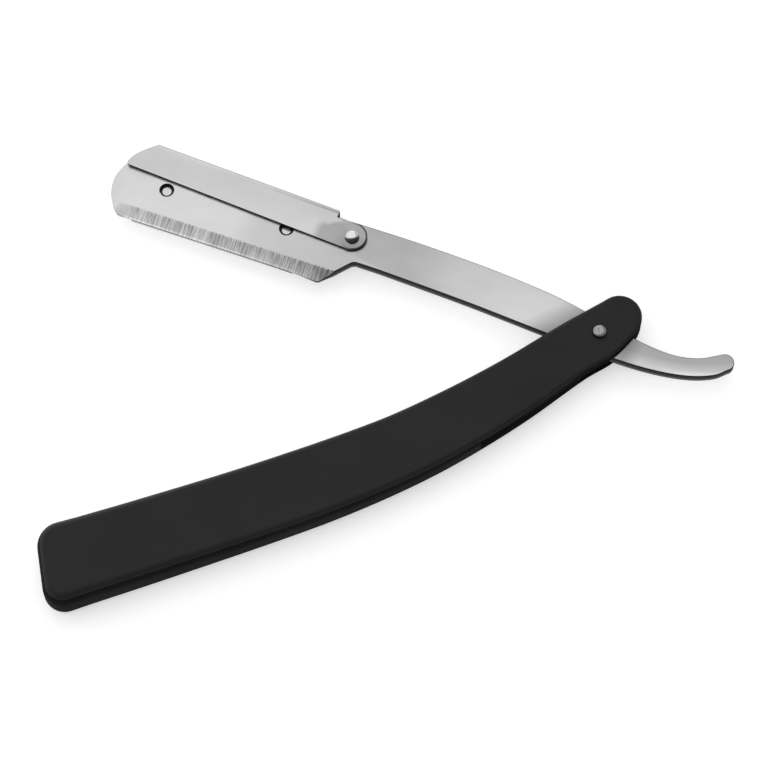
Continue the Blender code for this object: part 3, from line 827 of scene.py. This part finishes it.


# %% [markdown]
# Each face then finds its finish by where it is and how it leans. It is polished on the flat,
# sheared on the steep sides, and ground in the hollow, below it and round the nose. Inside, the
# dark sheared steel is painted shade in the gap between the leaves. Faces could be painted by hand,
# but after every change of a size they would have to be painted again.

# %% Geometry Nodes: grind a band
def grinding_tree():
    """Take the waste off the blank, then give each kind of face its finish."""
    tree, given, identifiers = new_tree(
        "grind_the_band", Int=("Columns", "Rows"),
        Float=("Band Start", "Band Length", "Shoulder", "Edge", "Face Height", "Depth", "Curve",
               "Overrun", "Block Height", "Groove Depth", "Groove Pitch", "Raggedness", "Run In",
               "Ground Side", "Inner Side", "Seed"),
        Material=("Face Finish", "Ground Finish", "Edge Finish And Gap Shade"))
    top = given["Shoulder"] + given["Overrun"]
    waste = grinding_waste(tree, given, top)
    taken = made(tree, "GeometryNodeMeshBoolean", {0: given["Geometry"], 1: waste},
                 operation="DIFFERENCE", solver="EXACT")

    facing = parts(made(tree, "GeometryNodeInputNormal"))[2]
    along, across, height = parts(made(tree, "GeometryNodeInputPosition"))
    steep = abs(facing) < 0.97
    below_face = height < given["Face Height"] - 0.01 * MM
    hollowed = below_face & (facing > 0.3) & (across < top)
    low_head = (along < given["Ground Side"]) & (across < given["Shoulder"])
    ground_side = steep & (low_head | (along < given["Run In"]))
    # Painted shade: the inner faces take the dark edge steel, for the shade between the leaves.
    inner_side_in_shade = height < given["Inner Side"]

    painted = paint(realized(taken), given["Face Finish"])
    for finish, faces in (("Edge Finish And Gap Shade", steep), ("Ground Finish", ground_side),
                          ("Ground Finish", hollowed), ("Edge Finish And Gap Shade", inner_side_in_shade)):
        painted = paint(painted, given[finish], faces)
    made(tree, "NodeGroupOutput", {0: painted})
    return tree, identifiers


GRINDING, GRINDING_INPUTS = grinding_tree()
print("tree", GRINDING.name, "with", len(GRINDING.nodes), "nodes")

# %% [markdown]
# The blank is drilled first: the pivot, the clip's rivet and the two stud holes, which are wide in
# the front leaf and a tight seat in the back one. The back leaf is the front one turned over, so
# it is made in the same place and then mirrored through the middle plane, with its faces flipped.
# Its cutting edge is set back a little, so that the front leaf hides it from above.

# %% Both leaves
CLIP_RIVET = (-57.65, 3.6)
PIN_HOLE = 1.1
STUDS, STUD_ACROSS = (-99.9, -71.9), 1.05
STUD_HOLE, STUD_SEAT = 1.65, 1.02
BACK_LEAF_SET_BACK = 0.2
GRINDING_SIZES = {
    "Band Start": -114.0, "Band Length": 60.0, "Shoulder": -5.1, "Edge": EDGE,
    "Face Height": LEAF_OUTSIDE, "Depth": 0.8, "Overrun": 0.7, "Block Height": 2.0,
    "Groove Depth": 0.03, "Groove Pitch": 0.42, "Raggedness": 0.4, "Run In": -105.5,
    "Ground Side": -62.5, "Inner Side": LEAF_INSIDE + 0.05}


def make_leaf(name, stud_hole, finishes, seed, mirrored):
    """Stamp, drill and grind a leaf, and turn it over where it is the back one."""
    face, edge = finishes
    outline = leaf_outline(BACK_LEAF_SET_BACK if mirrored else 0.0)
    blank = sheet(outline, LEAF_INSIDE, LEAF_OUTSIDE, LEAF_RIM)
    leaf = draft(name, blank, [face, edge, ground])
    drill(leaf, name + "_pivot_drill", (0, 0), PIN_HOLE, edge)
    drill(leaf, name + "_clip_drill", CLIP_RIVET, PIN_HOLE, edge)
    for k, x in enumerate(STUDS):
        drill(leaf, name + "_stud_drill_" + str(k), (x, STUD_ACROSS), stud_hole, edge)
    values = {label: size * MM for label, size in GRINDING_SIZES.items()}
    values.update({"Columns": 640, "Rows": 12, "Curve": 1.35, "Seed": seed,
                   "Face Finish": face, "Ground Finish": ground, "Edge Finish And Gap Shade": edge})
    run_tree(leaf, GRINDING, GRINDING_INPUTS, values)
    settle(leaf, ARM_PLACE @ Matrix.Scale(-1, 4, (0, 0, 1)) if mirrored else ARM_PLACE)
    if mirrored:
        leaf.data.flip_normals()
    return leaf


front_leaf = make_leaf("ground_front_leaf", STUD_HOLE, (front_steel, front_edge_and_shade), 3.0, False)
back_leaf = make_leaf("ground_back_leaf", STUD_SEAT, (back_steel, back_edge_and_shade), 8.0, True)
for leaf, node in ((front_leaf, "front_leaf"), (back_leaf, "back_leaf")):
    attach(leaf, "arm")
    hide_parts(node)

# %% [markdown]
# ## The spine clip
# The clip is one strip of 0.6 mm sheet folded over the spine. It could be bent from a flat strip
# with a modifier. Drawing the folded section and pushing it along the spine is simpler, and a
# plate with the clip's side view then trims it: the curved nose, the lower edge and the two ears.

# %% Section and side view of the clip
CLIP_INSIDE, CLIP_OUTSIDE = 1.3, 1.9
BAR_START, BAR_END, BAR_WALL = -114.0, -50.0, 11.0
FOLD_END_RADIUS = 0.8
EAR_TOP = 7.1
CLIP_LOWER_CORNER, CLIP_LOWER_RADIUS = (-110.75, 3.93), 0.7
CLIP_NOSE_EDGE = [(-105.2, 12.6), (-106.15, 10.3), (-107.75, 8.7), (-109.05, 7.3), (-110.05, 5.8)]


def fold_bar():
    """The folded sheet as a bar that is longer than the clip at both ends."""
    centre = FOLD_END[1] + FOLD_SLOPE * (BAR_START - FOLD_END[0])
    outer = arc((centre, 0), CLIP_OUTSIDE, -90, 90, 24)
    inner = arc((centre, 0), CLIP_INSIDE, 90, -90, 20)
    foot = centre - BAR_WALL
    section = [(foot, -CLIP_OUTSIDE)] + outer + [(foot, CLIP_OUTSIDE), (foot, CLIP_INSIDE)]
    section += inner + [(foot, -CLIP_INSIDE)]
    shift = FOLD_SLOPE * (BAR_END - BAR_START)
    return lofted([[(BAR_START, y, z) for y, z in section],
                   [(BAR_END, y + shift, z) for y, z in section]])


def clip_outline():
    """Side view of the clip: nose curve, lower edge, ear and the end of the fold."""
    ear = arc(EAR_CENTRE, EAR_RADIUS, -93, 78, 40)
    low = corner(CLIP_NOSE_EDGE[-1], CLIP_LOWER_CORNER, ear[0], CLIP_LOWER_RADIUS)
    crown = FOLD_END[1] + CLIP_OUTSIDE
    rounding = arc((FOLD_END[0] - FOLD_END_RADIUS, crown - FOLD_END_RADIUS), FOLD_END_RADIUS,
                   0, 75, 8)
    above = (rounding[-1][0], CLIP_NOSE_EDGE[0][1])
    fold_end = [(EAR_CENTRE[0], EAR_TOP), (FOLD_END[0], EAR_TOP)] + rounding + [above]
    return low + ear + fold_end + spline(CLIP_NOSE_EDGE, 8)


print("side view of the clip in", len(clip_outline()), "points")

# %% Clip
CLIP_RIM = 0.1
UNSHADED_NOSE = (-104.5, 4.5)


def make_clip():
    """Bar, trimmed and drilled. Its rim takes the dark edge steel as painted shade, but not round
    the nose.
    """
    clip = draft("folded_spine_clip", fold_bar(), [clip_steel, front_edge_and_shade])
    plate = stacked(clip_outline(), [level(0, -5), level(0, 5)])
    cut(clip, "clip_trim", plate, "INTERSECT", front_edge_and_shade)
    drill(clip, "clip_drill", CLIP_RIVET, PIN_HOLE, front_edge_and_shade)
    # Painted shade: the rim's bevel takes the dark edge steel, for the shadow line along the clip's
    # edge.
    soften(clip, CLIP_RIM, 50).material = 1
    settle(clip, ARM_PLACE)
    to_arm = ARM_PLACE.inverted()
    for face in clip.data.polygons:
        along, across, _ = to_arm @ face.center / MM
        if along < UNSHADED_NOSE[0] and across > UNSHADED_NOSE[1]:
            face.material_index = 0
    return clip


clip = make_clip()
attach(clip, "clip")
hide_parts("spine_clip")

# %% [markdown]
# ## Rivets and studs
# Both rivets are the same turned pin: a domed head, a shank and a head closed on the back. The two
# studs are one shape as well. Repeats like these are work for Geometry Nodes: half a rivet is
# turned once, and a tree mirrors it, and the studs are set on two points of a line. Turning each
# whole pin would need no tree, but then a change to the head would have to be made four times.

# %% Rivet finish
def tumbled_steel(name, seat, tone, centre=(0, 0), shade_lean=0.0):
    """Rivet steel: small dents all over, bright on the dome, with painted shade at its seat.

    The painted shade goes up higher on one side.
    """
    finish, tree = new_material(name)
    dents = noise(arm_coordinates(tree, 2600.0, 2600.0, 2600.0), 3.0, 0.6)
    along, across, height = arm_place(tree)
    lean_along, lean_across = 0.3 * shade_lean, -0.6 * shade_lean
    sideways = (along * lean_along - lean_along * centre[0]
                + (across * lean_across - lean_across * centre[1]))
    clear_of_seat = abs(height - MIDDLE / MM) - sideways
    # Painted shade: dark at the seat, reaching higher on one side.
    rim = ramp(clear_of_seat, seat + 0.12, seat + 0.6, 0.08, 1.0, smooth=True)
    surface(rim * spread(dents, tone * 0.93, tone * 1.07), spread(dents, 0.2, 0.34), dents, 0.006)
    return finish


# %% Geometry Nodes: a rivet from one half
HEAD_RADIUS, HEAD_HEIGHT = 1.55, 0.85
HEAD_LAND, HEAD_FOOT = 0.75, 0.06
HEAD_STEPS = 12
DOME_ANGLE = math.radians(75)
SHANK = 1.0
SEAT_GAP = 0.1


def half_rivet(seat):
    """Profile from the middle plane over the shank and the dome to the axis."""
    foot = seat + HEAD_FOOT
    profile = [(SHANK, 0.0), (SHANK, seat), (HEAD_RADIUS - 0.08, seat), (HEAD_RADIUS, foot)]
    for k in range(1, HEAD_STEPS + 1):
        angle = DOME_ANGLE * k / HEAD_STEPS
        rise = (HEAD_HEIGHT - HEAD_FOOT) * math.sin(angle) / math.sin(DOME_ANGLE)
        shrink = (1 - math.cos(angle)) / (1 - math.cos(DOME_ANGLE))
        profile.append((HEAD_RADIUS - (HEAD_RADIUS - HEAD_LAND) * shrink, foot + rise))
    return profile + [(HEAD_LAND * share, seat + HEAD_HEIGHT) for share in (0.8, 0.6, 0.4, 0.2, 0)]


def rivet_tree():
    """Both halves of a rivet from one, with a dish in the front head."""
    tree, given, identifiers = new_tree(
        "close_the_rivet", Float=("Dish Depth", "Dish Radius"), Material=("Finish",))
    back = made(tree, "GeometryNodeTransform", {"Geometry": given["Geometry"],
                                                "Scale": (1.0, 1.0, -1.0)})
    back = made(tree, "GeometryNodeFlipFaces", {"Mesh": back})
    flat = stretched(made(tree, "GeometryNodeInputPosition"), (1.0, 1.0, 0.0))
    off_axis = made(tree, "ShaderNodeVectorMath", {0: flat}, operation="LENGTH")["Value"]
    bowl = ramp(off_axis, 0.0, given["Dish Radius"], 1.0, 0.0, smooth=True)
    sink = point_of(tree, z=bowl * (given["Dish Depth"] * -1.0))
    front = made(tree, "GeometryNodeSetPosition", {"Geometry": given["Geometry"], "Offset": sink})
    pin = realized(sewn(front, back, 0.001 * MM))
    made(tree, "NodeGroupOutput", {0: paint(pin, given["Finish"])})
    return tree, identifiers


RIVET_TREE, RIVET_INPUTS = rivet_tree()
print("tree", RIVET_TREE.name, "with", len(RIVET_TREE.nodes), "nodes")

# %% [markdown]
# The heads differ a little. Pressing the pivot left its head with a shallow dish, and it is worn
# dull, while the clip's head stands up in the middle and is bright, so its dish is negative.

# %% Both rivets
PIVOT_SEAT = MIDDLE / MM - HEAD_HEIGHT
CLIP_RIVET_PLACE = ARM_PLACE @ Matrix.Translation((CLIP_RIVET[0] * MM, CLIP_RIVET[1] * MM, 0))
ROUND_PIECE_ANGLE = 40


def make_rivet(name, seat, dish, tone, place, centre, shade_lean):
    """Turn half a rivet, close it with the tree, and set it in its place."""
    finish = tumbled_steel(name + "_steel", seat, tone, centre, shade_lean)
    rivet = draft(name, turned(half_rivet(seat)), [finish])
    run_tree(rivet, RIVET_TREE, RIVET_INPUTS, {
        "Dish Depth": dish * MM, "Dish Radius": HEAD_LAND * MM, "Finish": finish})
    return settle(rivet, place, ROUND_PIECE_ANGLE)


pivot_rivet = make_rivet("turned_pivot_rivet", PIVOT_SEAT, 0.14, 0.36, HANDLE_PLACE, (0, 0), 0.3)
clip_rivet = make_rivet("turned_clip_rivet", CLIP_OUTSIDE + SEAT_GAP, -0.12, 0.8,
                        CLIP_RIVET_PLACE, CLIP_RIVET, 1.1)
for rivet, body, node in ((pivot_rivet, "handle", "pivot_rivet"),
                          (clip_rivet, "arm", "clip_rivet")):
    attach(rivet, body)
    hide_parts(node)

# %% Geometry Nodes: a row of studs
def stud_tree():
    """One copy of the stud on each point of a short line."""
    tree, given, identifiers = new_tree(
        "set_the_studs", Int=("Count",), Float=("Spacing", "First", "Across"),
        Material=("Finish",))
    line = made(tree, "GeometryNodeMeshLine", {
        "Count": given["Count"], "Start Location": point_of(tree, given["First"], given["Across"]),
        "Offset": point_of(tree, given["Spacing"])}, mode="OFFSET")
    copies = made(tree, "GeometryNodeInstanceOnPoints", {
        "Points": line, "Instance": given["Geometry"]})
    made(tree, "NodeGroupOutput", {0: paint(realized(copies), given["Finish"])})
    return tree, identifiers


STUD_TREE, STUD_INPUTS = stud_tree()
STUD_PROFILE = [(0, -LEAF_OUTSIDE), (0.87, -LEAF_OUTSIDE), (0.95, -LEAF_OUTSIDE + 0.08),
                (0.95, -0.1), (1.15, -0.1), (1.15, 0.4), (1.13, 0.48), (1.02, 0.58), (0.9, 0.6),
                (0, 0.6)]
stud_finish = tumbled_steel("stud_steel", -0.6, 0.66)
studs = draft("turned_studs", turned(STUD_PROFILE, 48), [stud_finish])
run_tree(studs, STUD_TREE, STUD_INPUTS, {
    "Count": 2, "Spacing": (STUDS[1] - STUDS[0]) * MM, "First": STUDS[0] * MM,
    "Across": STUD_ACROSS * MM, "Finish": stud_finish})
settle(studs, ARM_PLACE, ROUND_PIECE_ANGLE)
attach(studs, "arm")
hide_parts("nose_stud", "heel_stud")

# %% [markdown]
# ## The handle
# One black moulding, a wedge that is thin at the pivot and thick at the butt, with a rounded rim.
# Its finish is the satin of a spark-eroded mould: a very fine grain, a soft uneven gloss and
# hairlines. The narrow side is rougher, darker and mirrors less than the faces, which is painted
# shade for its dark look. One plain black would be quicker, but it would look like a flat cut-out.

# %% Handle finish
def satin_plastic(name, tone, rough, specular):
    """Black moulding: fine grain, patches of gloss and hairlines along the handle."""
    finish, tree = new_material(name)
    point = made(tree, "ShaderNodeTexCoord")["Object"]
    grain = noise(stretched(point, (7000.0, 7000.0, 7000.0)), 2.0)
    patches = noise(stretched(point, (60.0, 60.0, 60.0)))
    scratch = ramp(noise(stretched(point, (160.0, 9000.0, 3000.0)), 2.0), 0.68, 0.74)
    value = spread(patches, tone * 0.87, tone * 1.13) + spread(grain, -tone * 0.1, tone * 0.1)
    gloss = spread(patches, rough + 0.04, rough - 0.04) + scratch * 0.08
    surface(value, gloss, grain - scratch * 0.6, 0.004, 0.0, specular)
    return finish


black = satin_plastic("black_satin_moulding", 0.0085, 0.46, 0.28)
# Painted shade: the side's black is darker and mirrors less, so the narrow side stays dark.
black_side_shaded = satin_plastic("black_side_painted_shade", 0.006, 0.70, 0.08)
print("handle finishes:", black.name, black_side_shaded.name)

# %% [markdown]
# The handle is stacked from rings like the leaves, but its levels are rules over X, because both
# its thickness and its rim grow towards the butt. Its pivot end is drawn with two arcs. A box with
# a wide bevel could not follow the two long curves.

# %% Handle moulding
FRONT_X, BUTT_X = 10.5, -130.0
THICK_FRONT, THICK_BUTT = 4.6, 8.797
RIM_FRONT, RIM_BUTT = 1.0, 2.4
RIM_SHARE = 0.7
RIM_STEPS = 12
CONCAVE_EDGE = [(5.15, 6.75), (-6.0, 5.5), (-22.3, 3.2), (-37.0, 1.97), (-52.4, 1.63),
                (-79.2, 3.48), (-105.0, 6.32), (-119.0, 8.1)]
CONVEX_EDGE = [(-124.0, -9.45), (-105.6, -11.2), (-79.3, -13.4), (-65.0, -14.15), (-50.0, -14.03),
               (-37.5, -13.03), (-22.4, -10.73), (-6.6, -7.27), (0.6, -6.3), (6.89, -3.75)]
BUTT_FAR, BUTT_FAR_RADIUS = (-126.3, 9.3), 5.2
BUTT_NEAR, BUTT_NEAR_RADIUS = (-131.28, -8.95), 4.4


def along_handle(x, front, butt):
    """Value at x of something that grows evenly from the pivot end to the butt."""
    return front + (butt - front) * (FRONT_X - x) / (FRONT_X - BUTT_X)


def handle_outline():
    """Outline of the broad face: pivot end, hollow edge, butt with two corners, full edge."""
    pivot_end = arc((2.64, 3.61), 8.5, -60, -25, 12) + arc((5.99, 2.05), 4.8, -25, 99, 26)[1:]
    far = corner(CONCAVE_EDGE[-1], BUTT_FAR, BUTT_NEAR, BUTT_FAR_RADIUS, 16)
    near = corner(BUTT_FAR, BUTT_NEAR, CONVEX_EDGE[0], BUTT_NEAR_RADIUS, 16)
    return pivot_end + spline(CONCAVE_EDGE, 10)[1:] + far + near + spline(CONVEX_EDGE, 10)[1:]


def handle_levels():
    """Rings of the rounded rim, a quarter ellipse below each broad face."""
    angles = [math.radians(90 * k / RIM_STEPS) for k in range(RIM_STEPS + 1)]
    rim = [(1 - math.cos(t), 1 - RIM_SHARE * (1 - math.sin(t))) for t in angles]
    rim.append((1.4, 1.0))
    levels = [(inwards, -rise) for inwards, rise in reversed(rim)] + rim
    return [(lambda x, d=inwards: d * along_handle(x, RIM_FRONT, RIM_BUTT),
             lambda x, r=rise: r * along_handle(x, THICK_FRONT, THICK_BUTT) / 2)
            for inwards, rise in levels]


print("handle of", len(handle_levels()), "rings with", len(handle_outline()), "points each")

# %% [markdown]
# The slot is a loft of rectangles along the handle: narrow round the pivot, where it holds the arm
# without play, and wider where the head goes in. Up to 34 mm from the pivot it is open on both
# sides, as a fork, so that the tail can pass. Beyond that a web closes the full side. The loft's
# faces have to point outwards too: a Boolean with a solid that is inside out cuts nothing.

# %% Slot of the handle
SLOT_AT_PIVOT, SLOT_AT_HEAD = 2.6, 4.5
SLOT_PARALLEL_TO, SLOT_WIDE_FROM = -8.0, -42.0
SLOT_END, SLOT_END_RADIUS = -117.5, 4.0
WEB_START, WEB_NOSE, WEB = -34.0, 3.0, 1.8
OUTSIDE = 20.0


def web_inside(x, lower_edge):
    """Height of the web's inner face over x, one web thickness above the convex edge."""
    for (x1, y1), (x2, y2) in zip(lower_edge, lower_edge[1:]):
        if x1 <= x <= x2:
            return y1 + (y2 - y1) * (x - x1) / (x2 - x1) + WEB
    return lower_edge[0][1] + WEB


def slot_floor():
    """Floor of the slot along the handle, from beyond the pivot to its blind end."""
    lower_edge = spline(CONVEX_EDGE, 5)
    stations = [(x, -OUTSIDE) for x in (OUTSIDE, SLOT_PARALLEL_TO, WEB_START)]
    for k in range(9):
        angle = math.radians(90 * k / 8)
        x = WEB_START - 0.01 - WEB_NOSE * (1 - math.cos(angle))
        stations.append((x, web_inside(x, lower_edge) - WEB * 1.2 * (1 - math.sin(angle))))
    straight_end = SLOT_END + SLOT_END_RADIUS
    for k in range(21):
        x = SLOT_WIDE_FROM + (straight_end - SLOT_WIDE_FROM) * k / 20
        stations.append((x, web_inside(x, lower_edge)))
    for k in range(1, 11):
        angle = math.radians(90 * k / 10)
        x = straight_end - SLOT_END_RADIUS * math.sin(angle)
        rise = SLOT_END_RADIUS * (1 - math.cos(angle))
        stations.append((x, web_inside(x, lower_edge) + rise))
    return stations


def slot_solid():
    """The slot as a closed loft."""
    rings = []
    for x, low in slot_floor():
        share = (SLOT_PARALLEL_TO - x) / (SLOT_PARALLEL_TO - SLOT_WIDE_FROM)
        share = min(max(share, 0.0), 1.0)
        half = (SLOT_AT_PIVOT + share * (SLOT_AT_HEAD - SLOT_AT_PIVOT)) / 2
        rings.append([(x, low, half), (x, OUTSIDE, half), (x, OUTSIDE, -half), (x, low, -half)])
    return lofted(rings)


print("slot from", WEB_START, "mm to", SLOT_END, "mm behind a web, open before that")

# %% [markdown]
# The steep faces of the rim get the side finish with its painted shade. The broad faces lean a
# little, because the handle is a wedge, and smooth shading would show faint folds on them, so they
# are shaded flat.

# %% Handle
SIDE_STEEPNESS = 0.6
FLAT_FACE = 0.9998
SLOT_RIM = 0.22


def make_handle():
    """Moulding with its slot, pin hole and soft edges."""
    moulding = stacked(handle_outline(), handle_levels())
    handle = draft("satin_handle", moulding, [black, black_side_shaded])
    for face in handle.data.polygons:
        face.material_index = int(abs(face.normal.z) < SIDE_STEEPNESS)
    cut(handle, "handle_slot", slot_solid())
    drill(handle, "handle_pin_hole", (0, 0), PIN_HOLE, black)
    soften(handle, SLOT_RIM, 42)
    settle(handle, HANDLE_PLACE)
    for face in handle.data.polygons:
        if abs(face.normal.z) > FLAT_FACE:
            face.use_smooth = False
    return handle


handle = make_handle()
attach(handle, "handle")
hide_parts("handle")

# %% [markdown]
# ## The half blade
# Only its bright edge shows between the leaves while the clip is shut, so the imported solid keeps
# its shape. Its finish is polished strip steel with a ground bevel: the marks of the hone run
# square to the edge, in a band that is as wide as the bevel.

# %% Blade finish
BLADE_TONE = 0.62
BEVEL_BORDER = (-6.9, -7.0)


def honed_steel():
    """Polished strip with hone marks on its bevel."""
    finish, tree = new_material("half_blade_steel")
    bevel = ramp(arm_place(tree)[1], *BEVEL_BORDER)
    hone = noise(arm_coordinates(tree, 9000.0, 200.0, 200.0))
    roll = noise(arm_coordinates(tree, 200.0, 12000.0, 200.0), 2.0)
    tone = bevel * spread(hone, -0.1, 0.1) + BLADE_TONE + spread(roll, -0.03, 0.03)
    surface(tone, ramp(bevel, 0.0, 1.0, 0.16, 0.26), hone, 0.0015)
    return finish


blade = nodes["half_blade"]
blade.data.materials.clear()
blade.data.materials.append(honed_steel())
print("half blade keeps its", len(blade.data.polygons), "faces")
